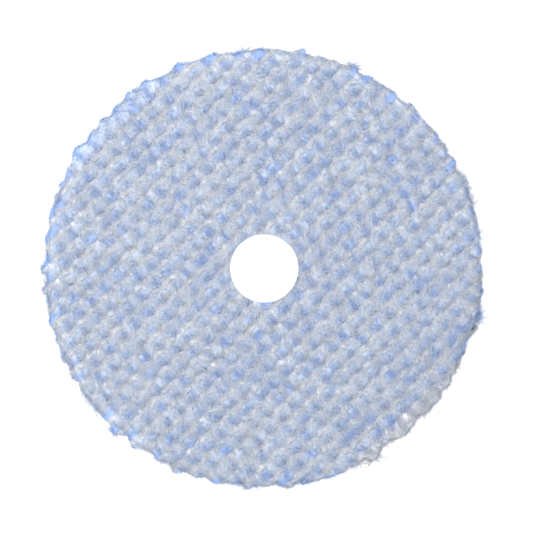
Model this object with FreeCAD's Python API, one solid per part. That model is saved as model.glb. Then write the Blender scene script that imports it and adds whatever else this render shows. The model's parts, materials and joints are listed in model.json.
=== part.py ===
# Round polishing pad: a two-colour yarn pile on a base cloth, a foam core, and a loop backing.
# Millimetres, +Z up. The pad lies on its loop side with the pile facing up. The origin is where
# the centre bore's axis meets the lower face of the loop backing.

import FreeCAD, Part
import math
import os

# Sizes of the whole pad
pad_diameter = 140.0  # across the tips of the pile
bore_diameter = 22.0  # hole punched through every layer, for a centring pin and cooling air

# Laminated layers, from the machine side to the working side
loop_backing_thickness = 2.0  # knitted loop cloth with its nap
back_adhesive_thickness = 0.3
foam_thickness = 8.0
face_adhesive_thickness = 0.3
base_cloth_thickness = 0.9
backing_inset = 5.0  # the loop backing's edge stands this far inside the pile's tips
cloth_overhang = 0.5  # the base cloth stands this far past the foam it is glued to

# Pile: rows of blue yarn and rows of white yarn take turns across the base cloth
pile_height = 9.0  # blue yarn, from the base cloth to the tips
white_yarn_drop = 0.8  # the white yarn is sheared lower than the blue by this
pile_splay = 2.0  # the outermost tips lean past the base cloth's edge by this
splay_height = 3.0  # height at which the leaning tips reach their full width
shoulder_radius = 3.5  # rounding of the pile's outer top edge
row_pitch = 4.91  # from one blue row to the next
blue_row_width = 2.75
row_gap = 0.15  # clear space between neighbouring rows
row_crown = 0.8  # a row's middle stands this far above its two sides
row_angle = 44.0  # degrees from +X to the rows' direction
nearest_blue_row = 1.25  # the cloth is cut off centre: this far from the axis to the nearest blue row
seam_margin = 1.0  # bare cloth left outside the outermost row
pile_bore_clearance = 0.1  # the yarn is trimmed back from the bore by this

# Places that follow from the sizes
pad_radius = pad_diameter / 2
bore_radius = bore_diameter / 2
base_cloth_radius = pad_radius - pile_splay
foam_top_radius = base_cloth_radius - cloth_overhang
backing_radius = pad_radius - backing_inset
back_adhesive_z = loop_backing_thickness
foam_z = back_adhesive_z + back_adhesive_thickness
face_adhesive_z = foam_z + foam_thickness
base_cloth_z = face_adhesive_z + face_adhesive_thickness
pile_z = base_cloth_z + base_cloth_thickness
white_row_width = row_pitch - blue_row_width - 2 * row_gap

Z_AXIS = FreeCAD.Vector(0, 0, 1)
OVERCUT = 1.0  # how far a cutting shape runs past what it cuts
CUT_TOLERANCE = 1e-4  # a row's side can just graze the rounded shoulder, which an exact cut misses


def at_height(z):
    """The point on the bore's axis at this height."""
    return FreeCAD.Vector(0, 0, z)


def bored(solid):
    """The layer with the centre bore punched through it."""
    box = solid.BoundBox
    punch = Part.makeCylinder(bore_radius, box.ZLength + 2 * OVERCUT, at_height(box.ZMin - OVERCUT))
    return solid.cut(punch)


def flat_layer(radius, z, thickness):
    """A die-cut round layer of even thickness."""
    return bored(Part.makeCylinder(radius, thickness, at_height(z)))


def foam_core():
    """The foam, cut with a side that narrows from the base cloth down to the loop backing."""
    return bored(Part.makeCone(backing_radius, foam_top_radius, foam_thickness, at_height(foam_z)))


def pile_envelope():
    """The whole pile as one ring: its side leans out from the base cloth, and its top edge is rounded."""
    inner = bore_radius + pile_bore_clearance
    top_z = pile_z + pile_height
    shoulder_z = top_z - shoulder_radius
    arc_middle = FreeCAD.Vector(
        pad_radius - shoulder_radius * (1 - math.cos(math.pi / 4)),
        0,
        shoulder_z + shoulder_radius * math.sin(math.pi / 4),
    )
    corners = [
        FreeCAD.Vector(pad_radius - shoulder_radius, 0, top_z),
        FreeCAD.Vector(inner, 0, top_z),
        FreeCAD.Vector(inner, 0, pile_z),
        FreeCAD.Vector(base_cloth_radius, 0, pile_z),
        FreeCAD.Vector(pad_radius, 0, pile_z + splay_height),
        FreeCAD.Vector(pad_radius, 0, shoulder_z),
    ]
    edges = [Part.LineSegment(a, b).toShape() for a, b in zip(corners, corners[1:])]
    edges.append(Part.Arc(corners[-1], arc_middle, corners[0]).toShape())
    return Part.Face(Part.Wire(edges)).revolve(at_height(0), Z_AXIS, 360)


def row_centres(nearest, width):
    """Where the rows of one colour cross the base cloth, as distances from the bore's axis."""
    reach = base_cloth_radius - seam_margin - width / 2
    first = math.ceil((-reach - nearest) / row_pitch)
    last = math.floor((reach - nearest) / row_pitch)
    return [nearest + step * row_pitch for step in range(first, last + 1)]


def planned_rows():
    """Every yarn row across the pad, as (low side, high side, height, name), in order.

    The first and the last row have no neighbour outside, so their yarn fans out to the pad's edge.
    """
    blue = row_centres(nearest_blue_row, blue_row_width)
    white = row_centres(nearest_blue_row + row_pitch / 2, white_row_width)
    rows = []
    for number, centre in enumerate(blue, 1):
        rows.append((centre, blue_row_width, pile_height, f"pile_blue_{number:02d}"))
    for number, centre in enumerate(white, 1):
        rows.append((centre, white_row_width, pile_height - white_yarn_drop, f"pile_white_{number:02d}"))
    rows.sort()
    spans = [[c - w / 2, c + w / 2, height, name] for c, w, height, name in rows]
    spans[0][0] = -pad_radius - OVERCUT
    spans[-1][1] = pad_radius + OVERCUT
    return spans


def yarn_row(envelope, low, high, height):
    """One sewn row of yarn: a crowned strip along the row, kept where the pile is."""
    start = -pad_radius - OVERCUT
    side_z = pile_z + height - row_crown
    foot_low = FreeCAD.Vector(start, low, pile_z)
    foot_high = FreeCAD.Vector(start, high, pile_z)
    side_low = FreeCAD.Vector(start, low, side_z)
    side_high = FreeCAD.Vector(start, high, side_z)
    crown = FreeCAD.Vector(start, (low + high) / 2, pile_z + height)
    section = Part.Wire(
        [
            Part.LineSegment(side_low, foot_low).toShape(),
            Part.LineSegment(foot_low, foot_high).toShape(),
            Part.LineSegment(foot_high, side_high).toShape(),
            Part.Arc(side_high, crown, side_low).toShape(),
        ]
    )
    strip = Part.Face(section).extrude(FreeCAD.Vector(-2 * start, 0, 0))
    strip.rotate(at_height(0), Z_AXIS, row_angle)
    solids = envelope.common((strip,), CUT_TOLERANCE).Solids
    return solids[0] if len(solids) == 1 else Part.makeCompound(solids)


def pad_parts():
    """Every piece of the pad by name, from the machine side to the working side."""
    parts = {
        "loop_backing": flat_layer(backing_radius, 0, loop_backing_thickness),
        "back_adhesive": flat_layer(backing_radius, back_adhesive_z, back_adhesive_thickness),
        "foam_core": foam_core(),
        "face_adhesive": flat_layer(foam_top_radius, face_adhesive_z, face_adhesive_thickness),
        "base_cloth": flat_layer(base_cloth_radius, base_cloth_z, base_cloth_thickness),
    }
    envelope = pile_envelope()
    for low, high, height, name in planned_rows():
        parts[name] = yarn_row(envelope, low, high, height)
    return parts


os.makedirs("parts", exist_ok=True)
for name, shape in pad_parts().items():
    shape.exportStep(f"parts/{name}.step")
    print(f"{name}: {len(shape.Solids)} solid, {shape.Volume:.1f} mm3, valid {shape.isValid()}")
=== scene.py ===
# %% [markdown]
# # A polishing pad, built around its CAD frame
# The pad is a sandwich: a loop backing that grips the machine, foam, and a base cloth into which rows
# of blue and white yarn are sewn. The CAD model says where every layer and every yarn row lies. This
# lesson loads that frame and gives each piece its real surface, one step at a time.

import json
import math

import bpy
import numpy as np
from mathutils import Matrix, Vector
from mathutils.kdtree import KDTree


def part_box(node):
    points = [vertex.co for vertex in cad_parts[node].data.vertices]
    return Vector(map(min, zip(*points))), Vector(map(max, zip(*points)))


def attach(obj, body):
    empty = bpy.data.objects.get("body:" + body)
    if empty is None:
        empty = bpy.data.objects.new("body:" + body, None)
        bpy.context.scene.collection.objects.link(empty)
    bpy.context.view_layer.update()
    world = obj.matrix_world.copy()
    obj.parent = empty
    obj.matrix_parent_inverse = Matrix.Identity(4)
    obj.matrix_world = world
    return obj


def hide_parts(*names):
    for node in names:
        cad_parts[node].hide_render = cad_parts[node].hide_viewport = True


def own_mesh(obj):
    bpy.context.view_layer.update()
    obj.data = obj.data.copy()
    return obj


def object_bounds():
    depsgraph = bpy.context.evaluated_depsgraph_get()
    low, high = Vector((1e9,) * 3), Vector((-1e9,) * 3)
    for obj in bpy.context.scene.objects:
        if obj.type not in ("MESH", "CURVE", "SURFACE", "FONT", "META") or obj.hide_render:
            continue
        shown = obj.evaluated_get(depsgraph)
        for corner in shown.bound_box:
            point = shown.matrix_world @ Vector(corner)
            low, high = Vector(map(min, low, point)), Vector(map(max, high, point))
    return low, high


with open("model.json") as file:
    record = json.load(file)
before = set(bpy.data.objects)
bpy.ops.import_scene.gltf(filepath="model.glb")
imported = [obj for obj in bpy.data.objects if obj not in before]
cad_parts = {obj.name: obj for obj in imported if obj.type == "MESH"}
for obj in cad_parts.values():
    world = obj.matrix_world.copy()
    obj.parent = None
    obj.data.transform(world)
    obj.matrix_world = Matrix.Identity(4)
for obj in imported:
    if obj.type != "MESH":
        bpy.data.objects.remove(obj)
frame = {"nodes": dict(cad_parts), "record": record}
cad_bounds = [[float(v) for v in corner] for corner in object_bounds()]
MM = 0.001
print("CAD nodes:", len(frame["nodes"]), "bounds (m):", cad_bounds)

# %% [markdown]
# ## Sizes come from the frame
# Nothing is measured twice: radii and heights are read from the boxes of the CAD layers, so the looks
# follow if the design changes. The one thing that a box can't give is the rows' direction. The rows
# are chords of one circle, so their middles all lie on one line through the pad's axis, square to them.

# %% Read the layers and the row directions
def radius_of(node):
    """Outer radius of a round layer, in metres."""
    low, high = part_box(node)
    return max(high.x - low.x, high.y - low.y) / 2


def middle_of(node):
    """Middle of a node's box, seen from above."""
    low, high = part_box(node)
    return np.array(((low.x + high.x) / 2, (low.y + high.y) / 2))


BORE_RADIUS = frame["record"]["mounts"][1]["dims"]["r_mm"] * MM
CLOTH_RADIUS = radius_of("base_cloth")
PAD_RADIUS = cad_bounds[1][0]
PILE_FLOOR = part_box("base_cloth")[1].z
PILE_TOP = cad_bounds[1][2]

blue_rows = sorted(name for name in frame["nodes"] if name.startswith("pile_blue_"))
white_rows = sorted(name for name in frame["nodes"] if name.startswith("pile_white_"))
across = middle_of(blue_rows[-2]) - middle_of(blue_rows[1])
across /= np.linalg.norm(across)
along = np.array((across[1], -across[0]))


def row_middle(node):
    """Distance of a row's middle line from the pad's axis, in metres."""
    part = frame["nodes"][node]
    flat = np.array([part.matrix_world @ vertex.co for vertex in part.data.vertices])[:, :2] @ across
    return float(flat.min() + flat.max()) / 2


ROW_PITCH = row_middle(blue_rows[2]) - row_middle(blue_rows[1])
row_angle = math.degrees(math.atan2(along[1], along[0]))
print(f"rows run at {row_angle:.1f} degrees, {ROW_PITCH / MM:.2f} mm apart")

# %% [markdown]
# ## The stage
# A pale floor under soft, even light suits a fluffy object: hard light would turn every fibre into a
# black-and-white edge. The floor also glows, which keeps it clean white even where it is seen down
# through the bore. The view transform is Standard, so that pale colours stay pale. The key lamp stands
# close on the upper left, so the light falls off a little towards the lower right.

# %% Floor and world
FLOOR_GLOW = 0.95
SKY_STRENGTH = 1.2

scene = bpy.context.scene
scene.view_settings.view_transform = "Standard"
scene.view_settings.look = "None"


def new_material(name):
    """A material with an empty node tree, its Principled shader and its output."""
    material = bpy.data.materials.new(name)
    material.use_nodes = True
    nodes = material.node_tree.nodes
    nodes.clear()
    shader = nodes.new("ShaderNodeBsdfPrincipled")
    output = nodes.new("ShaderNodeOutputMaterial")
    output.location = (300, 0)
    material.node_tree.links.new(shader.outputs[0], output.inputs[0])
    return material, shader


bpy.ops.mesh.primitive_plane_add(size=6)
floor = bpy.context.object
floor.name = "studio_floor"
floor_paint, floor_shader = new_material("studio_floor_paint")
floor_shader.inputs["Base Color"].default_value = (0.3, 0.3, 0.3, 1)
floor_shader.inputs["Roughness"].default_value = 0.9
floor_shader.inputs["Emission Color"].default_value = (1, 1, 1, 1)
floor_shader.inputs["Emission Strength"].default_value = FLOOR_GLOW
floor.data.materials.append(floor_paint)

sky = bpy.data.worlds.new("studio_sky")
sky.use_nodes = True
sky.node_tree.nodes["Background"].inputs["Color"].default_value = (1, 1, 1, 1)
sky.node_tree.nodes["Background"].inputs["Strength"].default_value = SKY_STRENGTH
scene.world = sky

# %% Lamps
def soft_box(name, place, size, watts):
    """A square area lamp that faces the middle of the pad."""
    lamp = bpy.data.lights.new(name, "AREA")
    lamp.shape = "SQUARE"
    lamp.size = size
    lamp.energy = watts
    holder = bpy.data.objects.new(name, lamp)
    scene.collection.objects.link(holder)
    holder.location = place
    holder.rotation_euler = (-Vector(place)).to_track_quat("-Z", "Y").to_euler()


soft_box("key_lamp", place=(-0.375, 0.3, 0.5), size=0.3, watts=3)
soft_box("fill_lamp", place=(0.8, -0.5, 1.2), size=1.2, watts=4)

# %% Camera
VIEW_WIDTH = 0.17003  # what the picture shows from side to side, at the pile's height
CAMERA_HEIGHT = 2.4
PICTURE_MIDDLE = (0.00077, 0.00061)  # the pad sits a little left of and below the picture's middle

camera_data = bpy.data.cameras.new("camera")
camera_data.lens_unit = "FOV"
camera_data.angle = 2 * math.atan(VIEW_WIDTH / 2 / (CAMERA_HEIGHT - PILE_TOP))
camera = bpy.data.objects.new("camera", camera_data)
camera.location = (*PICTURE_MIDDLE, CAMERA_HEIGHT)
scene.collection.objects.link(camera)
scene.camera = camera
print(f"lens {camera_data.lens:.0f} mm")

# %% [markdown]
# ## Yarn colour
# Every fibre carries two numbers: how deep it lies in the pile, and its tone, from the deepest blue
# to the palest white. They are stored as a UV map, and one node group turns them into colour. Blue
# and white yarn use the same group with their own colours, so both fade and darken in the same way.
# The darkening towards the roots is painted shade, where the pile shades itself.

# %% Node group: yarn tone
FIBRE_MAP = "OFBake"


def link(tree, source, target):
    """Joins one node's output to another node's input."""
    tree.links.new(source, target)


def build_yarn_tone():
    """Colour of a fibre from its depth and tone, between a deep, a middle and a pale colour. It darkens
    towards the root, as painted shade.
    """
    group = bpy.data.node_groups.new("yarn_tone", "ShaderNodeTree")
    for name, kind in (
        ("Depth", "NodeSocketFloat"),
        ("Tone", "NodeSocketFloat"),
        ("Deep Colour", "NodeSocketColor"),
        ("Middle Colour", "NodeSocketColor"),
        ("Pale Colour", "NodeSocketColor"),
        ("Root Painted Shade", "NodeSocketFloat"),
    ):
        group.interface.new_socket(name=name, in_out="INPUT", socket_type=kind)
    group.interface.new_socket(name="Colour", in_out="OUTPUT", socket_type="NodeSocketColor")
    nodes = group.nodes
    inside = nodes.new("NodeGroupInput")
    outside = nodes.new("NodeGroupOutput")
    low_half = nodes.new("ShaderNodeMapRange")
    low_half.inputs["From Max"].default_value = 0.5
    high_half = nodes.new("ShaderNodeMapRange")
    high_half.inputs["From Min"].default_value = 0.5
    low_mix = nodes.new("ShaderNodeMix")
    low_mix.data_type = "RGBA"
    high_mix = nodes.new("ShaderNodeMix")
    high_mix.data_type = "RGBA"
    # Painted shade: the colour darkens from the fibre's tip down to its root.
    shade = nodes.new("ShaderNodeMapRange")
    shade.inputs["To Max"].default_value = 1.0
    darken = nodes.new("ShaderNodeMix")
    darken.data_type = "RGBA"
    darken.blend_type = "MULTIPLY"
    darken.inputs["Factor"].default_value = 1.0
    grey = nodes.new("ShaderNodeCombineColor")
    link(group, inside.outputs["Tone"], low_half.inputs["Value"])
    link(group, inside.outputs["Tone"], high_half.inputs["Value"])
    link(group, low_half.outputs["Result"], low_mix.inputs["Factor"])
    link(group, high_half.outputs["Result"], high_mix.inputs["Factor"])
    link(group, inside.outputs["Deep Colour"], low_mix.inputs["A"])
    link(group, inside.outputs["Middle Colour"], low_mix.inputs["B"])
    link(group, low_mix.outputs["Result"], high_mix.inputs["A"])
    link(group, inside.outputs["Pale Colour"], high_mix.inputs["B"])
    link(group, inside.outputs["Depth"], shade.inputs["Value"])
    link(group, inside.outputs["Root Painted Shade"], shade.inputs["To Min"])
    for channel in ("Red", "Green", "Blue"):
        link(group, shade.outputs["Result"], grey.inputs[channel])
    link(group, high_mix.outputs["Result"], darken.inputs["A"])
    link(group, grey.outputs["Color"], darken.inputs["B"])
    link(group, darken.outputs["Result"], outside.inputs["Colour"])
    return group


yarn_tone = build_yarn_tone()


def yarn_material(name, deep, middle, pale, root_painted_shade):
    """Matt fibre with a soft sheen, coloured by the yarn tone group."""
    material, shader = new_material(name)
    tree = material.node_tree
    fibre = tree.nodes.new("ShaderNodeUVMap")
    fibre.uv_map = FIBRE_MAP
    split = tree.nodes.new("ShaderNodeSeparateXYZ")
    tone = tree.nodes.new("ShaderNodeGroup")
    tone.node_tree = yarn_tone
    tone.inputs["Deep Colour"].default_value = (*deep, 1)
    tone.inputs["Middle Colour"].default_value = (*middle, 1)
    tone.inputs["Pale Colour"].default_value = (*pale, 1)
    tone.inputs["Root Painted Shade"].default_value = root_painted_shade
    link(tree, fibre.outputs["UV"], split.inputs["Vector"])
    link(tree, split.outputs["X"], tone.inputs["Depth"])
    link(tree, split.outputs["Y"], tone.inputs["Tone"])
    link(tree, tone.outputs["Colour"], shader.inputs["Base Color"])
    shader.inputs["Roughness"].default_value = 0.85
    shader.inputs["Specular IOR Level"].default_value = 0.2
    shader.inputs["Sheen Weight"].default_value = 0.25
    shader.inputs["Sheen Roughness"].default_value = 0.5
    return material


ROOT_PAINTED_SHADE = 0.7  # painted shade: how bright a fibre's root is, next to its tip
# Valleys take the deep colours and crowns the pale ones. The darker valley colours, DEEP_BLUE and
# SHADED_WHITE, are partly the yarn's own colour and partly painted shade.
DEEP_BLUE = (0.27, 0.415, 0.775)
LIGHT_BLUE = (0.48, 0.58, 0.765)
PALE_BLUE = (0.63, 0.68, 0.765)
SHADED_WHITE = (0.51, 0.55, 0.64)
OFF_WHITE = (0.60, 0.62, 0.675)
BRIGHT_WHITE = (0.66, 0.67, 0.69)
blue_yarn = yarn_material("blue_yarn", DEEP_BLUE, LIGHT_BLUE, PALE_BLUE, ROOT_PAINTED_SHADE)
white_yarn = yarn_material("white_yarn", SHADED_WHITE, OFF_WHITE, BRIGHT_WHITE, ROOT_PAINTED_SHADE)
print("yarn materials:", blue_yarn.name, white_yarn.name)

# %% [markdown]
# ## From arrays to a mesh
# The pile needs tens of thousands of fibres. Blender's operators would take minutes for that, so the
# points and triangles are worked out as NumPy arrays and handed over in one go.

# %% Mesh from arrays
def mesh_piece(name, points, triangles, fibre_values, material):
    """A smooth-shaded mesh object; fibre_values is (depth, tone) per point, or None."""
    mesh = bpy.data.meshes.new(name)
    mesh.from_pydata(points.tolist(), [], triangles.tolist())
    mesh.polygons.foreach_set("use_smooth", np.ones(len(mesh.polygons), bool))
    if fibre_values is not None:
        corners = np.zeros(len(mesh.loops), np.int32)
        mesh.loops.foreach_get("vertex_index", corners)
        layer = mesh.uv_layers.new(name=FIBRE_MAP)
        layer.data.foreach_set("uv", fibre_values[corners].astype(np.float32).ravel())
    mesh.update()
    mesh.materials.append(material)
    piece = bpy.data.objects.new(name, mesh)
    scene.collection.objects.link(piece)
    return piece


def join_arrays(parts):
    """Several (points, triangles, values) as one, with the triangles renumbered."""
    starts = np.cumsum([0] + [len(points) for points, _, _ in parts[:-1]])
    points = np.concatenate([p for p, _, _ in parts])
    triangles = np.concatenate([t + start for (_, t, _), start in zip(parts, starts)])
    values = np.concatenate([v for _, _, v in parts])
    return points, triangles, values


# %% [markdown]
# ## Where the tufts stand
# The needle pierces the cloth at an even pitch along each row, and each row starts a little later
# than the one before. That stagger packs the tufts like cobbles. A small random shift keeps the
# pattern from looking printed. The two end rows carry an extra rank, which fans out to the pad's edge.

# %% Tuft places
TUFT_PITCH = 5.85 * MM
ROW_STAGGER = 2.45 * MM  # each row starts this much later than the row before it
ROOT_SHIFT = (0.42 * MM, 0.25 * MM)  # spread of the random shifts, along and across the row
YARNS = {
    "blue": {
        "rows": blue_rows,
        "start": 0.2 * MM,  # a tuft of the row nearest the bore, along the row
        "crown_shift": 0.5 * MM,  # how far the crown leans across the row
        "length": 2.2 * MM,  # of a tuft's hill, along the row
        "width": 2.5 * MM,
        "wobble": 0.0,
        "strip": 3.6 * MM,  # width of the dense part, which runs on under its neighbours
        "sunk": 0.18 * MM,  # how far the dense part lies below the pile's surface
        "height": 8.3 * MM,
        "fibres": 110,  # on each tuft
        "thickness": 0.17 * MM,
        "material": blue_yarn,
        "slot": "blue_yarn",
        "seed": 100,
    },
    "white": {
        "rows": white_rows,
        "start": 0.75 * MM,
        "crown_shift": -0.7 * MM,
        "length": 2.1 * MM,
        "width": 2.1 * MM,
        "wobble": 0.45 * MM,  # the yarn zigzags this far, towards one side at each tuft
        "strip": 2.35 * MM,
        "sunk": 0.1 * MM,
        "height": 8.15 * MM,
        "fibres": 90,
        "thickness": 0.17 * MM,
        "material": white_yarn,
        "slot": "white_yarn",
        "seed": 200,
    },
}


def row_offset(rows, index):
    """Distance of a row from the pad's axis. The end rows fan out, so a neighbour gives theirs."""
    if 0 < index < len(rows) - 1:
        return row_middle(rows[index])
    step = 1 if index == 0 else -1
    return row_offset(rows, index + step) - step * ROW_PITCH


def rank_of_tufts(yarn, offset, row_number, rng):
    """Roots of one rank of tufts at that distance from the axis, as (along, across)."""
    reach = int(PAD_RADIUS / TUFT_PITCH) + 2
    first = (yarn["start"] + row_number * ROW_STAGGER) % TUFT_PITCH
    places = first + TUFT_PITCH * np.arange(-reach - 1, reach + 1)
    roots = np.stack([places, np.full(len(places), offset)], axis=1)
    roots += rng.normal(0, ROOT_SHIFT, roots.shape)
    distance = np.hypot(roots[:, 0], roots[:, 1])
    return roots[(distance < PAD_RADIUS - 1.0 * MM) & (distance > BORE_RADIUS - 1.2 * MM)]


def row_tufts(yarn, index):
    """Places and sizes of a row's tufts."""
    rng = np.random.default_rng(yarn["seed"] + index)
    offsets = [row_offset(yarn["rows"], i) for i in range(len(yarn["rows"]))]
    offset = offsets[index]
    row_number = round((offset - min(offsets, key=abs)) / ROW_PITCH)
    ranks = [rank_of_tufts(yarn, offset, row_number, rng)]
    if index in (0, len(offsets) - 1) and abs(offset) > 0.92 * PAD_RADIUS:
        beyond = offset + math.copysign(0.55 * ROW_PITCH, offset)
        ranks.append(rank_of_tufts(yarn, beyond, row_number + 0.5, rng))
    roots = np.concatenate(ranks)
    count = len(roots)
    return {
        "offset": offset,
        "first": yarn["start"] + row_number * ROW_STAGGER,
        "s": roots[:, 0],
        "d": roots[:, 1] + yarn["crown_shift"],
        "length": yarn["length"] * rng.normal(1, 0.14, count),
        "width": yarn["width"] * rng.normal(1, 0.14, count),
        "height": yarn["height"] + rng.normal(0, 0.3 * MM, count),
        "tone": rng.normal(0, 0.09, count),
        "comb": rng.normal(0, 0.3, count),
    }


sewn = {
    colour: [row_tufts(yarn, index) for index in range(len(yarn["rows"]))]
    for colour, yarn in YARNS.items()
}
print("tufts:", {colour: sum(len(t["s"]) for t in rows) for colour, rows in sewn.items()})

# %% [markdown]
# ## The pile's surface
# Neighbouring tufts press into each other, so the pile has one common surface: a landscape with a
# soft hill for every tuft and puffs of cotton-like fibre in between. It is kept as a height map. Every
# strip and every fibre reads its height there, which is what makes blue and white mingle at the rows'
# edges. Hills are added with a power sum, which blends them where they overlap.

# %% Height map
MAP_STEP = 0.2 * MM
MAP_HALF = 376  # cells from the pad's axis to the map's side
MAP_SIZE = 2 * MAP_HALF + 1
VALLEY_HEIGHT = 6.9 * MM
PUFF_HEIGHT = 0.12 * MM
FULL_CROWN = 1.25 * MM  # a hill this high counts as all crown


def band_noise(size, finest, coarsest, seed):
    """Smooth random field with features between two sizes (in map cells), with a spread of 1."""
    wave = np.fft.fft2(np.random.default_rng(seed).normal(0, 1, (size, size)))
    step = np.fft.fftfreq(size)
    frequency = np.hypot(step[:, None], step[None, :])
    wave *= np.exp(-((frequency * finest) ** 2)) - np.exp(-((frequency * coarsest) ** 2))
    field = np.fft.ifft2(wave).real
    return field / field.std()


def hills():
    """Height of every tuft's hill above the valleys, blended."""
    total = np.zeros((MAP_SIZE, MAP_SIZE))
    axis = (np.arange(MAP_SIZE) - MAP_HALF) * MAP_STEP
    for rows in sewn.values():
        for tufts in rows:
            keys = ("s", "d", "length", "width", "height")
            for s, d, a, b, height in zip(*(tufts[key] for key in keys)):
                i0, i1 = np.searchsorted(axis, (s - 2.2 * a, s + 2.2 * a))
                j0, j1 = np.searchsorted(axis, (d - 2.2 * b, d + 2.2 * b))
                away = np.hypot((axis[i0:i1, None] - s) / a, (axis[None, j0:j1] - d) / b)
                total[i0:i1, j0:j1] += ((height - VALLEY_HEIGHT) / (1 + away**3.2)) ** 4
    return total**0.25


hill_map = hills()
puff_map = band_noise(MAP_SIZE, 3, 10, 31)
surface_map = VALLEY_HEIGHT + hill_map + PUFF_HEIGHT * puff_map
patch_map = band_noise(MAP_SIZE, 14, 60, 32)


def read_map(grid, s, d):
    """Value of a map at points on the pad, blended between the four nearest cells."""
    i = np.clip(s / MAP_STEP + MAP_HALF, 0, 2 * MAP_HALF - 1e-6)
    j = np.clip(d / MAP_STEP + MAP_HALF, 0, 2 * MAP_HALF - 1e-6)
    i0, j0 = i.astype(int), j.astype(int)
    fi, fj = i - i0, j - j0
    near = grid[i0, j0] * (1 - fj) + grid[i0, j0 + 1] * fj
    far = grid[i0 + 1, j0] * (1 - fj) + grid[i0 + 1, j0 + 1] * fj
    return near * (1 - fi) + far * fi


def smooth_steps(value, low, high):
    """0 below low, 1 above high, and a smooth rise between them."""
    share = np.clip((value - low) / (high - low), 0, 1)
    return share * share * (3 - 2 * share)


def surface_height(s, d):
    """Height of the pile above the cloth. It rounds off towards the pad's edge."""
    fall = smooth_steps(np.hypot(s, d), 0.93 * PAD_RADIUS, 1.005 * PAD_RADIUS) ** 1.5
    return read_map(surface_map, s, d) * (1 - 0.34 * fall)


def crown_share(s, d):
    """0 in a valley of the pile and 1 on a crown."""
    return np.clip(read_map(hill_map, s, d) / FULL_CROWN, 0, 1)


lowest, highest = surface_map.min() / MM, surface_map.max() / MM
print(f"pile surface from {lowest:.1f} to {highest:.1f} mm above the cloth")

# %% [markdown]
# ## The dense part of a row
# Deep in the pile the split fibres stand too close to see between. That part of a row is one closed
# strip: a grid of columns along the row, whose top follows the pile's surface. Each column ends exactly
# on the pad's edge or on the bore, so the strips together draw a clean punched hole. Their sides dip
# under the neighbouring strips, so no slit opens between rows. The first and the last row have the
# pad's edge for one side, so their columns are bent to follow it.

# %% Row bodies
PILE_TALL = PILE_TOP - PILE_FLOOR
STATION_STEP = 0.4 * MM
END_ROW_COLUMNS = 13
EDGE_BODY = PAD_RADIUS - 0.42 * MM  # the dense part ends here, and loose fibres reach further out
OFF_CENTRE = (0.53 * MM, math.radians(115))  # the pile's outline is a little off the bore's axis
EDGE_BUMP = 0.125 * MM  # size of one wave of the outline; 81 of them add up
TONE_CROWN = 0.85  # how much paler a crown is than a valley; the valleys' deeper colour is partly the yarn's own, partly painted shade
TONE_LEVEL = 0.73  # share of a crown at which the yarn has its middle tone
PATCH_TONE = 0.035

edge_rng = np.random.default_rng(7)
EDGE_WAVES = [(n, edge_rng.uniform(0, 2 * np.pi), edge_rng.normal(0, 1)) for n in range(9, 90)]


def edge_radius(angle):
    """Outer radius of the dense pile: bumpy at the scale of a tuft."""
    bumps = sum(size * np.sin(n * angle + phase) for n, phase, size in EDGE_WAVES)
    return EDGE_BODY + EDGE_BUMP * bumps + OFF_CENTRE[0] * np.cos(angle - OFF_CENTRE[1])


CLUMP_WAVES = [(n, edge_rng.uniform(0, 2 * np.pi), edge_rng.normal(0, 1)) for n in range(50, 170)]


def clumping(angle):
    """How far the edge's fibres hang together into pointed tufts: mostly 0, and about 1 at a tuft."""
    waves = sum(size * np.sin(n * angle + phase) for n, phase, size in CLUMP_WAVES)
    return np.maximum(waves / math.sqrt(len(CLUMP_WAVES) / 2) - 0.9, 0)


def column_ends(d, side):
    """Where a column at distance d from the middle line starts and ends, on one side of the bore."""
    reach = EDGE_BODY
    for _ in range(3):
        outer = np.sqrt(np.maximum(reach**2 - d**2, 0))
        reach = edge_radius(np.arctan2(d, side * outer))
    inner = np.sqrt(np.maximum(BORE_RADIUS**2 - d**2, 0))
    return inner, np.maximum(outer, inner)


def to_pad(s, d, up):
    """A point given along the row, across the rows and above the cloth, in the pad's frame."""
    x = s * along[0] + d * across[0]
    y = s * along[1] + d * across[1]
    return np.stack([x, y, PILE_FLOOR + up], axis=-1)


def fibre_tone(s, d):
    """Tone of the yarn at a place: paler on crowns, deeper in valleys (partly the yarn's own colour,
    partly painted shade), with broad soft patches.
    """
    crown = TONE_CROWN * (crown_share(s, d) - TONE_LEVEL)
    return 0.5 + crown + PATCH_TONE * read_map(patch_map, s, d)


def zigzag(yarn, tufts, s):
    """How far a row's yarn is shifted across the row at a place along it."""
    return yarn["wobble"] * np.cos(2 * np.pi * (s - tufts["first"]) / TUFT_PITCH)


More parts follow.
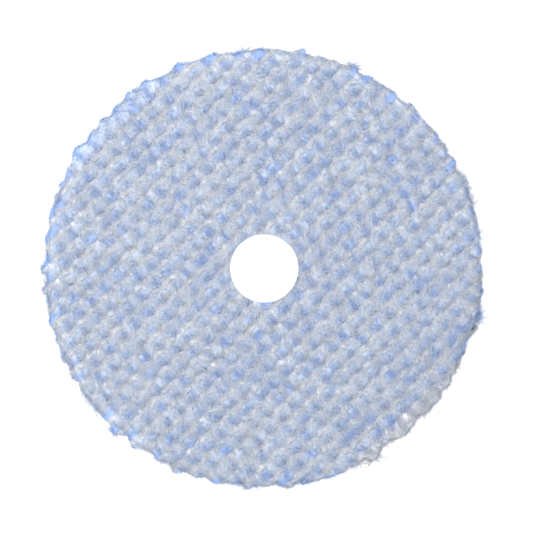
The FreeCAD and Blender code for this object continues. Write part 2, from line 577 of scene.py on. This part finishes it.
def closed_strip(yarn, tufts, s, d, rng):
    """A closed strip over a grid of places, as (points, triangles, values)."""
    stations, columns = s.shape
    calm = smooth_steps(EDGE_BODY - np.hypot(s, d), 0, 3 * MM)
    calm *= smooth_steps(np.hypot(s, d) - BORE_RADIUS, 0, 2 * MM)
    d = d + zigzag(yarn, tufts, s) * calm
    up = surface_height(s, d) - yarn["sunk"] + rng.normal(0, 0.05 * MM, s.shape)
    up[:, (0, -1)] -= 0.5 * MM
    # The dense part is a little deeper in tone than the fibres, and its colour darkens with depth down
    # to its foot: painted shade.
    tone = fibre_tone(s, d) - 0.05 + rng.normal(0, 0.06, s.shape)
    depth = np.clip(up / PILE_TALL, 0, 1)
    squeeze = np.where(np.hypot(s, d) > 0.9 * PAD_RADIUS, CLOTH_RADIUS / PAD_RADIUS, 1.0)
    top = to_pad(s, d, up)
    foot = to_pad(s * squeeze, d * squeeze, np.zeros_like(up))
    count = stations * columns
    number = np.arange(count).reshape(stations, columns)
    quads = np.stack([number[:-1, :-1], number[1:, :-1], number[1:, 1:], number[:-1, 1:]], axis=-1)
    quads = quads.reshape(-1, 4)
    rim = np.concatenate([number[:, 0], number[-1, 1:], number[::-1, -1][1:], number[0, ::-1][1:-1]])
    after = np.roll(rim, -1)
    walls = np.stack([rim, rim + count, after + count, after], axis=-1)
    faces = np.concatenate([quads, quads[:, ::-1] + count, walls])
    triangles = np.concatenate([faces[:, [0, 1, 2]], faces[:, [0, 2, 3]]])
    depths = np.concatenate([depth, np.zeros_like(depth)])
    values = np.stack([depths, np.concatenate([tone, tone])], axis=-1)
    points = np.concatenate([top.reshape(-1, 3), foot.reshape(-1, 3)])
    return points, triangles, np.clip(values.reshape(-1, 2), 0.01, 0.99)


def end_row_grid(near, sign):
    """Grid of an end row, which spreads out from its inner side to the pad's edge."""
    chord = math.sqrt(EDGE_BODY**2 - near**2)
    s = np.linspace(-chord, chord, round(2 * chord / STATION_STEP))[:, None]
    far = np.full_like(s, EDGE_BODY)
    for _ in range(3):
        far = np.sqrt(edge_radius(np.arctan2(sign * far, s)) ** 2 - s**2)
    far = np.maximum(far, near + 0.05 * MM)
    d = near + (far - near) * np.linspace(0, 1, END_ROW_COLUMNS)
    return np.broadcast_to(s, d.shape), d if sign > 0 else -d[:, ::-1]


def row_grids(yarn, tufts):
    """A row's dense part as grids of (along, across) places, its lines at the edge, and at the bore."""
    half = yarn["strip"] / 2
    near, sign = abs(tufts["offset"]) - half, math.copysign(1, tufts["offset"])
    if near + 2 * half > CLOTH_RADIUS - 2 * MM:
        s, d = end_row_grid(near, sign)
        side = -1 if sign > 0 else 0
        return [(s, d)], [(s[:, side], d[:, side])], []
    columns = tufts["offset"] + np.linspace(-half, half, round(2 * half / STATION_STEP) + 1)
    inner, right = column_ends(columns, 1)
    left = column_ends(columns, -1)[1]
    clear = np.abs(columns).min() > BORE_RADIUS
    spans = [(-left, right)] if clear else [(-left, -inner), (inner, right)]
    grids = []
    for start, end in spans:
        share = np.linspace(0, 1, max(4, int(np.max(end - start) / STATION_STEP)))[:, None]
        s = start + (end - start) * share
        grids.append((s, np.broadcast_to(columns, s.shape)))
    at_bore = inner > 0
    bore = [(side * inner[at_bore], columns[at_bore]) for side in (-1, 1)]
    return grids, [(-left, columns), (right, columns)], bore


# %% [markdown]
# ## Fibres
# A fibre is a closed, three-sided sliver with one bend, thick at its root and drawn out to a point.
# Real split microfibre is far finer than this. A modelled fibre stands for a lock of about fifty,
# which is also how the eye reads it from arm's length. Most fibres lie over the crown they grow from,
# brushed across the rows, with tips that lift a little. Others cover the walls at the rows' ends.

# %% Fibres
FIBRE_CORNERS = np.linspace(0, 2 * np.pi, 3, endpoint=False)
FIBRE_SIDES = [(0, 1, 4), (0, 4, 3), (1, 2, 5), (1, 5, 4), (2, 0, 3), (2, 3, 5)]
FIBRE_ENDS = [(3, 4, 6), (4, 5, 6), (5, 3, 6), (0, 2, 1)]
FIBRE_TRIANGLES = np.array(FIBRE_SIDES + FIBRE_ENDS)


def slivers(spine, thickness, depth, tone):
    """Closed slivers along three-point spines, as (points, triangles, values)."""
    count = len(spine)
    forward = spine[:, 2] - spine[:, 0]
    forward /= np.maximum(np.linalg.norm(forward, axis=1), 1e-7)[:, None]
    side = np.cross(forward, (0.0, 0.0, 1.0))
    side /= np.maximum(np.linalg.norm(side, axis=1), 1e-7)[:, None]
    upright = np.cross(side, forward)
    ring = np.cos(FIBRE_CORNERS)[None, :, None] * side[:, None]
    ring = ring + np.sin(FIBRE_CORNERS)[None, :, None] * upright[:, None]
    ring = ring * (thickness / 2)[:, None, None]
    points = np.concatenate([spine[:, :1] + ring, spine[:, 1:2] + ring * 0.85, spine[:, 2:3]], axis=1)
    triangles = FIBRE_TRIANGLES[None] + (np.arange(count) * 7)[:, None, None]
    depth = np.repeat(depth, (3, 3, 1), axis=1)
    values = np.stack([depth, np.broadcast_to(tone[:, None], depth.shape)], axis=-1)
    values = np.clip(values.reshape(-1, 2), 0.01, 0.99)
    return points.reshape(-1, 3), triangles.reshape(-1, 3), values


def keep_on_pad(s, d, reach):
    """Pulls points past the pad's edge back in, and pushes points in the bore back to its wall."""
    distance = np.maximum(np.hypot(s, d), 1e-6)
    soft_from = EDGE_BODY - 1.5 * MM
    room = reach - soft_from
    past = np.maximum(distance - soft_from, 0)
    held = np.where(past > 0, soft_from + room * (1 - np.exp(-past / room)), distance)
    held = np.maximum(held, BORE_RADIUS + 0.05 * MM)
    return s * held / distance, d * held / distance


def crown_fibres(yarn, tufts, rng):
    """Fibres that lie over a row's crowns and reach across to its neighbours."""
    count = len(tufts["s"]) * yarn["fibres"]
    k = np.repeat(np.arange(len(tufts["s"])), yarn["fibres"])
    start_s = rng.uniform(-0.55, 0.55, count) * TUFT_PITCH
    start_d = rng.uniform(-0.5, 0.5, count) * (yarn["strip"] + 0.3 * MM) - yarn["crown_shift"]
    heading = np.where(rng.uniform(0, 1, count) < 0.6, 0.5 * np.pi, -0.5 * np.pi)
    heading = heading + tufts["comb"][k] + rng.normal(0, 0.35, count)
    reach = rng.uniform(1.0, 2.7, count) * MM
    bend = heading + rng.normal(0, 0.35, count)
    s = np.stack([start_s, start_s + 0.5 * reach * np.cos(heading), np.zeros(count)], axis=1)
    d = np.stack([start_d, start_d + 0.5 * reach * np.sin(heading), np.zeros(count)], axis=1)
    s[:, 2] = s[:, 1] + 0.5 * reach * np.cos(bend)
    d[:, 2] = d[:, 1] + 0.5 * reach * np.sin(bend)
    s = s + tufts["s"][k][:, None]
    d = d + tufts["d"][k][:, None] + zigzag(yarn, tufts, s[:, :1])
    root, bent = np.full(count, -0.2), rng.uniform(0.08, 0.35, count)
    lift = np.stack([root, bent, rng.uniform(0.0, 0.5, count)], axis=1)
    edge = PAD_RADIUS + np.abs(rng.normal(0, 0.9, count)) * MM
    s, d = keep_on_pad(s, d, edge[:, None])
    up = surface_height(s, d) + lift * MM
    # The depth darkens each fibre towards its root: painted shade.
    depth = np.clip(up / PILE_TALL, 0, 1)
    tone = fibre_tone(s[:, 0], d[:, 0]) + tufts["tone"][k] + rng.normal(0, 0.13, count)
    thickness = yarn["thickness"] * rng.uniform(0.7, 1.3, count)
    return slivers(to_pad(s, d, up), thickness, depth, tone)


def spots_along(line, per_mm, rng):
    """Random places along a line, that many to the millimetre."""
    s, d = line
    if len(s) < 2:
        return np.zeros(0), np.zeros(0)
    walked = np.concatenate([[0], np.cumsum(np.hypot(np.diff(s), np.diff(d)))])
    spot = rng.uniform(0, walked[-1], int(walked[-1] / MM * per_mm))
    return np.interp(spot, walked, s), np.interp(spot, walked, d)


BORE_FIBRES = 12  # on each millimetre of a row's wall in the bore
EDGE_FIBRES = 46  # on each millimetre of its wall at the pad's edge
LYING_SHARE = 0.65  # share of the edge's fibres that lie along the wall
WISP_SHARE = 0.015  # share of them that are drawn out long


def random_signs(count, rng):
    """One or minus one for each fibre: the side to which it leans."""
    return np.where(rng.uniform(0, 1, count) < 0.5, 1, -1)


def wall_fibres(yarn, line, inside, rng):
    """Fibres on the wall at a row's end: lying and spread out at the edge, cut short in the bore."""
    s, d = spots_along(line, BORE_FIBRES if inside else EDGE_FIBRES, rng)
    count = len(s)
    if count == 0:
        return []
    angle = np.arctan2(d, s)
    level = rng.uniform(0.05, 1.0, count) ** 0.7
    up = level * surface_height(s, d)
    if inside:
        radius = np.full(count, BORE_RADIUS + 0.1 * MM)
        reach = rng.uniform(0.6, 1.6, count) * MM
        heading = angle + random_signs(count, rng) * rng.uniform(1.2, 1.5, count)
    else:
        lying = rng.uniform(0, 1, count) < LYING_SHARE
        radius = CLOTH_RADIUS + (np.hypot(s, d) - CLOTH_RADIUS) * level
        radius = radius - np.where(lying, 0.05, 0.3) * MM
        wisp = rng.uniform(0, 1, count) < WISP_SHARE
        reach = rng.uniform(0.6, 1.9, count) * MM * (1 + 1.6 * clumping(angle)) + wisp * 1.2 * MM
        aside = random_signs(count, rng) * rng.uniform(0.9, 1.5, count)
        heading = angle + np.where(lying, aside, rng.normal(0, 0.5, count))
    bend = heading + rng.normal(0, 0.1 if inside else 0.6, count)
    rise = (level - 0.45) * 0.9 + rng.normal(0, 0.25, count)
    if not inside:
        rise = np.where(lying, rng.normal(-0.1, 0.9, count), rise)
    spine_s = np.stack([radius * np.cos(angle)] * 3, axis=1)
    spine_d = np.stack([radius * np.sin(angle)] * 3, axis=1)
    spine_s[:, 1:] += (0.55 * reach * np.cos(heading))[:, None]
    spine_d[:, 1:] += (0.55 * reach * np.sin(heading))[:, None]
    spine_s[:, 2] += 0.45 * reach * np.cos(bend)
    spine_d[:, 2] += 0.45 * reach * np.sin(bend)
    if inside:
        distance = np.hypot(spine_s, spine_d)
        spine_s, spine_d = spine_s * BORE_RADIUS / distance, spine_d * BORE_RADIUS / distance
    spine_up = np.stack([up, up + 0.5 * rise * reach, up + (0.5 * rise - 0.3) * reach], axis=1)
    spine_up = np.clip(spine_up, 0.1 * MM, 0.9 * PILE_TALL)
    # Wall fibres darken towards the cloth, as painted shade, and take a tone deeper than the crowns'.
    depth = np.clip(0.35 + 0.6 * spine_up / PILE_TALL, 0, 1)
    tone = 0.33 + rng.normal(0, 0.15, count)
    thickness = yarn["thickness"] * rng.uniform(0.7, 1.3, count)
    return [slivers(to_pad(spine_s, spine_d, spine_up), thickness, depth, tone)]


# %% Sew every row
def sew_row(yarn, tufts, index):
    """One yarn row in place of its CAD strip."""
    rng = np.random.default_rng(yarn["seed"] + 500 + index)
    grids, edge_lines, bore_lines = row_grids(yarn, tufts)
    parts = [closed_strip(yarn, tufts, s, d, rng) for s, d in grids]
    parts.append(crown_fibres(yarn, tufts, rng))
    for line in edge_lines:
        parts += wall_fibres(yarn, line, False, rng)
    for line in bore_lines:
        parts += wall_fibres(yarn, line, True, rng)
    node = yarn["rows"][index]
    piece = mesh_piece(node + "_yarn", *join_arrays(parts), yarn["material"])
    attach(piece, "face")
    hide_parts(node)
    return piece


for colour, yarn in YARNS.items():
    pieces = [sew_row(yarn, tufts, index) for index, tufts in enumerate(sewn[colour])]
    print(colour, "rows:", len(pieces), "triangles:", sum(len(p.data.polygons) for p in pieces))

# %% [markdown]
# ## Round layers
# Everything under the pile is round, so each layer is a profile turned about the bore's axis. Relief
# is added by moving the turned points: a fine weave on the cloths, open cells on the foam, and a
# slightly uneven edge where adhesive was squeezed out.

# %% Turned layers
def path(points, step):
    """A closed profile of (radius, height) with points added, so that none are over a step apart."""
    spots = []
    for (r0, z0), (r1, z1) in zip(points, points[1:] + points[:1]):
        parts = max(1, round(math.hypot(r1 - r0, z1 - z0) / step))
        spots += [(r0 + (r1 - r0) * i / parts, z0 + (z1 - z0) * i / parts) for i in range(parts)]
    return np.array(spots)


def turned(name, profile, turns, material, relief):
    """A closed profile turned about the pad's axis, with a relief on its surface.

    relief(radius, angle, height) gives the (outward, up) shifts of its points.
    """
    angle = np.linspace(0, 2 * np.pi, turns, endpoint=False)[:, None]
    radius = np.broadcast_to(profile[:, 0], (turns, len(profile)))
    height = np.broadcast_to(profile[:, 1], radius.shape)
    outward, up = relief(radius, angle, height)
    radius, height = radius + outward, height + up
    points = np.stack([radius * np.cos(angle), radius * np.sin(angle), height], axis=-1)
    number = np.arange(turns * len(profile)).reshape(turns, len(profile))
    beside, after = np.roll(number, -1, axis=0), np.roll(number, -1, axis=1)
    quads = np.stack([number, beside, np.roll(beside, -1, axis=1), after], axis=-1)
    return mesh_piece(name, points.reshape(-1, 3), quads.reshape(-1, 4), None, material)


def layer(node):
    """Inner radius, outer radius, bottom and top of a round CAD layer."""
    low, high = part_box(node)
    return BORE_RADIUS, radius_of(node), low.z, high.z


# %% Node groups: grain and cells
def effect_group(name, inputs, outputs):
    """An empty node group with those float inputs and their values, and the typed outputs."""
    group = bpy.data.node_groups.new(name, "ShaderNodeTree")
    for label, value in inputs:
        socket = group.interface.new_socket(name=label, in_out="INPUT", socket_type="NodeSocketFloat")
        socket.default_value = value
    for label, kind in outputs:
        group.interface.new_socket(name=label, in_out="OUTPUT", socket_type=kind)
    return group, group.nodes.new("NodeGroupInput"), group.nodes.new("NodeGroupOutput")


def build_grain():
    """Fine mottling: a value near 1 and a normal, from noise of a given size."""
    group, inside, outside = effect_group(
        "fine_grain",
        [("Size", 0.001), ("Contrast", 0.2), ("Bump", 0.3)],
        [("Value", "NodeSocketFloat"), ("Normal", "NodeSocketVector")],
    )
    nodes = group.nodes
    place = nodes.new("ShaderNodeTexCoord")
    invert = nodes.new("ShaderNodeMath")
    invert.operation = "DIVIDE"
    invert.inputs[0].default_value = 1.0
    noise = nodes.new("ShaderNodeTexNoise")
    noise.inputs["Detail"].default_value = 3.0
    centred = nodes.new("ShaderNodeMath")
    centred.operation = "SUBTRACT"
    centred.inputs[1].default_value = 0.5
    scaled = nodes.new("ShaderNodeMath")
    scaled.operation = "MULTIPLY_ADD"
    scaled.inputs[2].default_value = 1.0
    bump = nodes.new("ShaderNodeBump")
    bump.inputs["Distance"].default_value = 0.0002
    link(group, inside.outputs["Size"], invert.inputs[1])
    link(group, invert.outputs[0], noise.inputs["Scale"])
    link(group, place.outputs["Object"], noise.inputs["Vector"])
    link(group, noise.outputs["Fac"], centred.inputs[0])
    link(group, centred.outputs[0], scaled.inputs[0])
    link(group, inside.outputs["Contrast"], scaled.inputs[1])
    link(group, noise.outputs["Fac"], bump.inputs["Height"])
    link(group, inside.outputs["Bump"], bump.inputs["Strength"])
    link(group, scaled.outputs[0], outside.inputs["Value"])
    link(group, bump.outputs["Normal"], outside.inputs["Normal"])
    return group


def build_cells():
    """Open foam cells: a value that is low in a cell's hollow and high on its rim, and a normal. The
    foam's paint turns the value into painted shade in each hollow.
    """
    group, inside, outside = effect_group(
        "foam_cells",
        [("Size", 0.001), ("Bump", 0.8)],
        [("Value", "NodeSocketFloat"), ("Normal", "NodeSocketVector")],
    )
    nodes = group.nodes
    place = nodes.new("ShaderNodeTexCoord")
    invert = nodes.new("ShaderNodeMath")
    invert.operation = "DIVIDE"
    invert.inputs[0].default_value = 1.0
    cells = nodes.new("ShaderNodeTexVoronoi")
    bump = nodes.new("ShaderNodeBump")
    bump.inputs["Distance"].default_value = 0.0004
    link(group, inside.outputs["Size"], invert.inputs[1])
    link(group, invert.outputs[0], cells.inputs["Scale"])
    link(group, place.outputs["Object"], cells.inputs["Vector"])
    link(group, cells.outputs["Distance"], bump.inputs["Height"])
    link(group, inside.outputs["Bump"], bump.inputs["Strength"])
    link(group, cells.outputs["Distance"], outside.inputs["Value"])
    link(group, bump.outputs["Normal"], outside.inputs["Normal"])
    return group


fine_grain = build_grain()
foam_cells = build_cells()


def mottled_material(name, colour, roughness, size, contrast, bump, sheen):
    """A plain colour broken up by fine grain."""
    material, shader = new_material(name)
    tree = material.node_tree
    grain = tree.nodes.new("ShaderNodeGroup")
    grain.node_tree = fine_grain
    grain.inputs["Size"].default_value = size
    grain.inputs["Contrast"].default_value = contrast
    grain.inputs["Bump"].default_value = bump
    shade = tree.nodes.new("ShaderNodeMix")
    shade.data_type = "RGBA"
    shade.blend_type = "MULTIPLY"
    shade.inputs["Factor"].default_value = 1.0
    shade.inputs["A"].default_value = (*colour, 1)
    grey = tree.nodes.new("ShaderNodeCombineColor")
    for channel in ("Red", "Green", "Blue"):
        link(tree, grain.outputs["Value"], grey.inputs[channel])
    link(tree, grey.outputs["Color"], shade.inputs["B"])
    link(tree, shade.outputs["Result"], shader.inputs["Base Color"])
    link(tree, grain.outputs["Normal"], shader.inputs["Normal"])
    shader.inputs["Roughness"].default_value = roughness
    shader.inputs["Sheen Weight"].default_value = sheen
    return material


# %% Base cloth
def weave_relief(pitch, depth):
    """Relief of a plain weave: small humps that swap places from thread to thread."""

    def relief(radius, angle, height):
        around = np.sin(angle * round(2 * np.pi * CLOTH_RADIUS / pitch))
        inward = np.sin(2 * np.pi * (radius + height) / pitch)
        hump = depth * around * inward
        middle = (height.min() + height.max()) / 2
        edge = np.abs(radius - (radius.min() + radius.max()) / 2) / (np.ptp(radius) / 2)
        sideways = np.where(edge > 0.999, hump, 0)
        return sideways, np.where(edge < 0.999, hump * np.sign(height - middle), 0)

    return relief


cloth_paint = mottled_material(
    "base_cloth_paint",
    colour=(0.16, 0.21, 0.34),
    roughness=0.9,
    size=0.6 * MM,
    contrast=0.5,
    bump=0.5,
    sheen=0.05,
)
inner, outer, low, high = layer("base_cloth")
base_cloth = turned(
    "base_cloth_weave",
    path([(inner, low), (outer, low), (outer, high), (inner, high)], 0.45 * MM),
    620,
    cloth_paint,
    weave_relief(1.4 * MM, 0.05 * MM),
)
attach(base_cloth, "face")
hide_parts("base_cloth")
print("base cloth:", len(base_cloth.data.polygons), "faces")

# %% Adhesive films
def squeezed_edge(radius, angle, height):
    """An uneven rim, where the film was pressed out by a fraction of a millimetre."""
    rim = radius > 0.9 * radius.max()
    waves = np.sin(17 * angle + 0.6) + np.sin(41 * angle + 2.1) + 0.7 * np.sin(97 * angle)
    return np.where(rim, 0.07 * MM * waves - 0.05 * MM, 0), np.zeros_like(height)


film_paint, film_shader = new_material("adhesive_film_paint")
film_shader.inputs["Base Color"].default_value = (0.42, 0.40, 0.34, 1)
film_shader.inputs["Roughness"].default_value = 0.45
for node, body in (("back_adhesive", "backing"), ("face_adhesive", "face")):
    inner, outer, low, high = layer(node)
    outline = path([(inner, low), (outer, low), (outer, high), (inner, high)], 6 * MM)
    film = turned(node + "_film", outline, 360, film_paint, squeezed_edge)
    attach(film, body)
    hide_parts(node)
print("adhesive films: back_adhesive_film, face_adhesive_film")

# %% [markdown]
# ## Foam core
# The foam is dark, open-celled and cut with a slight flare. Cutting leaves half cells open on every
# wall. The pits are real relief, and finer cells come from the material. The foam is what gives when the
# pad is pressed.
# The material paints each fine cell's hollow darker, as painted shade.

# %% Foam core
PIT_SPACING = 1.15 * MM
PIT_DEPTH = 0.38 * MM


def pitted(walls_low, walls_high, seed):
    """Relief that opens cells in the inner and outer walls of a ring."""
    rng = np.random.default_rng(seed)

    def relief(radius, angle, height):
        outward = np.zeros(radius.shape)
        middle = (radius.min() + radius.max()) / 2
        inside = (height > walls_low + 0.1 * MM) & (height < walls_high - 0.1 * MM)
        for wall, sign in ((radius > middle, -1), (radius < middle, 1)):
            spots = wall & inside
            mean = float(radius[spots].mean())
            wall_area = (walls_high - walls_low) * 2 * np.pi * mean
            count = int(wall_area / PIT_SPACING**2 * 1.3)
            centres = rng.uniform((0, walls_low), (2 * np.pi * mean, walls_high), (count, 2))
            tree = KDTree(count)
            for number, (x, y) in enumerate(centres):
                tree.insert((x, y, 0), number)
            tree.balance()
            turn = np.broadcast_to(angle, radius.shape)[spots] * mean
            gaps = np.array([tree.find((x, y, 0))[2] for x, y in zip(turn, height[spots])])
            hollow = np.clip(1 - (gaps / (0.55 * PIT_SPACING)) ** 2, 0, 1)
            outward[spots] = sign * PIT_DEPTH * hollow
        return outward, np.zeros(radius.shape)

    return relief


foam_paint, foam_shader = new_material("foam_paint")
tree = foam_paint.node_tree
cells = tree.nodes.new("ShaderNodeGroup")
cells.node_tree = foam_cells
cells.inputs["Size"].default_value = 0.55 * MM
cells.inputs["Bump"].default_value = 0.7
# Painted shade: the colour is darker in each cell's hollow and lighter on its rim.
ramp = tree.nodes.new("ShaderNodeMix")
ramp.data_type = "RGBA"
ramp.inputs["A"].default_value = (0.022, 0.025, 0.030, 1)
ramp.inputs["B"].default_value = (0.075, 0.082, 0.095, 1)
link(tree, cells.outputs["Value"], ramp.inputs["Factor"])
link(tree, ramp.outputs["Result"], foam_shader.inputs["Base Color"])
link(tree, cells.outputs["Normal"], foam_shader.inputs["Normal"])
foam_shader.inputs["Roughness"].default_value = 0.8
foam_shader.inputs["Specular IOR Level"].default_value = 0.3

low_corner, high_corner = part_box("foam_core")
foam_low, foam_high = low_corner.z, high_corner.z
foam_outline = [
    (BORE_RADIUS, foam_low),
    (radius_of("back_adhesive"), foam_low),
    (radius_of("foam_core"), foam_high),
    (BORE_RADIUS, foam_high),
]
walls = path(foam_outline, 0.32 * MM)
on_wall = (np.abs(walls[:, 0] - BORE_RADIUS) < 1e-6) | (walls[:, 0] > radius_of("back_adhesive") - 1e-6)
foam = turned("foam_core_cells", walls[on_wall], 1250, foam_paint, pitted(foam_low, foam_high, 77))
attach(foam, "backing")
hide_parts("foam_core")
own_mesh(foam)
print("foam core:", len(foam.data.polygons), "faces")

# %% [markdown]
# ## Loop backing
# The underside is a knitted cloth with a nap of tiny loops that the machine's hook plate catches. The
# cloth is one thin sheet and the loops are a separate piece, all standing at random angles.

# %% Backing cloth
NAP = 0.85 * MM
backing_paint = mottled_material(
    "loop_cloth_paint",
    colour=(0.36, 0.37, 0.39),
    roughness=0.92,
    size=0.5 * MM,
    contrast=0.5,
    bump=0.6,
    sheen=0.15,
)
inner, outer, low, high = layer("loop_backing")
backing_cloth = turned(
    "loop_backing_cloth",
    path([(inner, low + NAP), (outer, low + NAP), (outer, high), (inner, high)], 0.5 * MM),
    560,
    backing_paint,
    weave_relief(1.5 * MM, 0.06 * MM),
)
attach(backing_cloth, "backing")
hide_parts("loop_backing")

# %% Loops
LOOP_COUNT = 5600
LOOP_STEPS = 6
YARN_RADIUS = 0.075 * MM
loop_rng = np.random.default_rng(55)
reach = np.sqrt(loop_rng.uniform((inner + 0.4 * MM) ** 2, (outer - 0.5 * MM) ** 2, LOOP_COUNT))
around = loop_rng.uniform(0, 2 * np.pi, LOOP_COUNT)
turn = loop_rng.uniform(0, np.pi, LOOP_COUNT)
tall = NAP * loop_rng.uniform(0.75, 0.97, LOOP_COUNT)
span = loop_rng.uniform(0.35, 0.6, LOOP_COUNT) * MM
lean = loop_rng.normal(0, 0.25, LOOP_COUNT)
bow = np.linspace(0, np.pi, LOOP_STEPS)
sideways = span[:, None] * np.cos(bow)
drop = tall[:, None] * np.sin(bow) ** 0.8
tilt = (lean * tall)[:, None] * np.sin(bow)
turn_x, turn_y = np.cos(turn)[:, None], np.sin(turn)[:, None]
middle_x = (reach * np.cos(around))[:, None] + sideways * turn_x - tilt * turn_y
middle_y = (reach * np.sin(around))[:, None] + sideways * turn_y + tilt * turn_x
middle = np.stack([middle_x, middle_y, low + NAP + 0.05 * MM - drop], axis=-1)
flow = np.gradient(middle, axis=1)
flow /= np.linalg.norm(flow, axis=2, keepdims=True)
flank = np.stack([-np.sin(turn), np.cos(turn), np.zeros(LOOP_COUNT)], axis=-1)[:, None]
flank = np.broadcast_to(flank, flow.shape)
upright = np.cross(flow, flank)
corner = np.linspace(0, 2 * np.pi, 3, endpoint=False)
ring = np.cos(corner)[:, None] * flank[:, :, None] + np.sin(corner)[:, None] * upright[:, :, None]
loop_points = (middle[:, :, None] + YARN_RADIUS * ring).reshape(LOOP_COUNT, -1, 3)
loop_points[..., 2] = np.maximum(loop_points[..., 2], 0.01 * MM)
loop_faces = []
for step in range(LOOP_STEPS - 1):
    for side in range(3):
        a, b = step * 3 + side, step * 3 + (side + 1) % 3
        loop_faces += [(a, b, b + 3), (a, b + 3, a + 3)]
last_ring = (LOOP_STEPS - 1) * 3
loop_faces += [(2, 1, 0), (last_ring, last_ring + 1, last_ring + 2)]
loop_faces = np.array(loop_faces)[None] + (np.arange(LOOP_COUNT) * loop_points.shape[1])[:, None, None]
nap_paint = mottled_material(
    "loop_nap_paint",
    colour=(0.44, 0.45, 0.47),
    roughness=0.9,
    size=1.2 * MM,
    contrast=0.4,
    bump=0.0,
    sheen=0.2,
)
loop_points, loop_faces = loop_points.reshape(-1, 3), loop_faces.reshape(-1, 3)
nap = mesh_piece("loop_backing_nap", loop_points, loop_faces, None, nap_paint)
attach(nap, "backing")
print("loops:", LOOP_COUNT, "faces:", len(nap.data.polygons))
